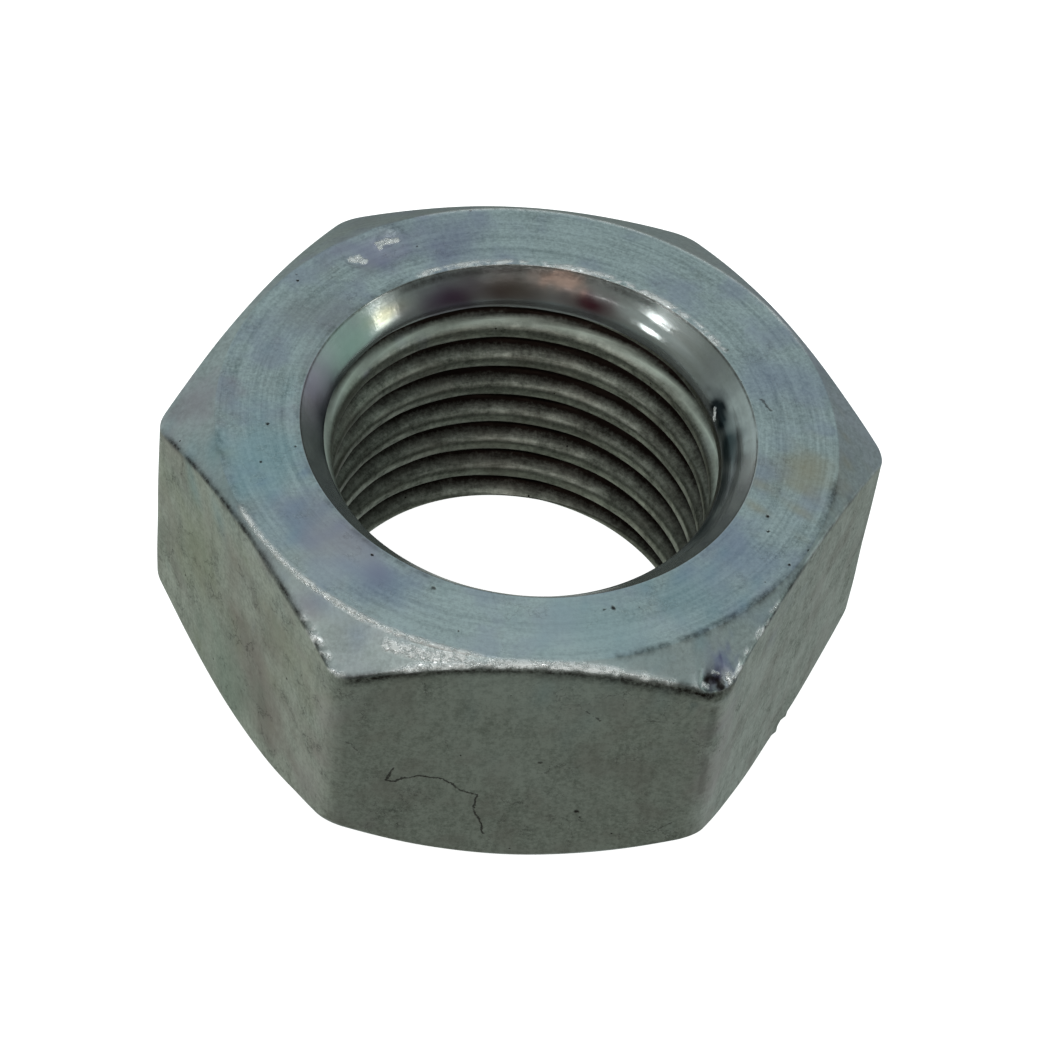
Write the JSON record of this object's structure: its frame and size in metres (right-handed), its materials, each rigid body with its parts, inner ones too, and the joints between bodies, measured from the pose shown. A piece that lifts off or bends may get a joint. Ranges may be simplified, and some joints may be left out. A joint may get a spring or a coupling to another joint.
{
  "type": "hex nut",
  "caption": "Plain hexagon nut with a fine right-hand metric thread through its middle, countersunk at both faces, for a bolt or a threaded rod.",
  "frame": {"origin": "centre of the thread on the lower bearing face, where the nut rests", "axes": "+Z along the thread axis, towards the upper bearing face; +X towards one corner of the hexagon; +Y square to one pair of flats"},
  "size_m": [0.0342, 0.03, 0.016],
  "materials": {
    "zinc_plated_steel": "bright zinc plate with a clear passivate, satin on the turned faces and duller on the drawn flats"
  },
  "bodies": {
    "root": {"nut_body": "zinc_plated_steel"}
  },
  "joints": []
}
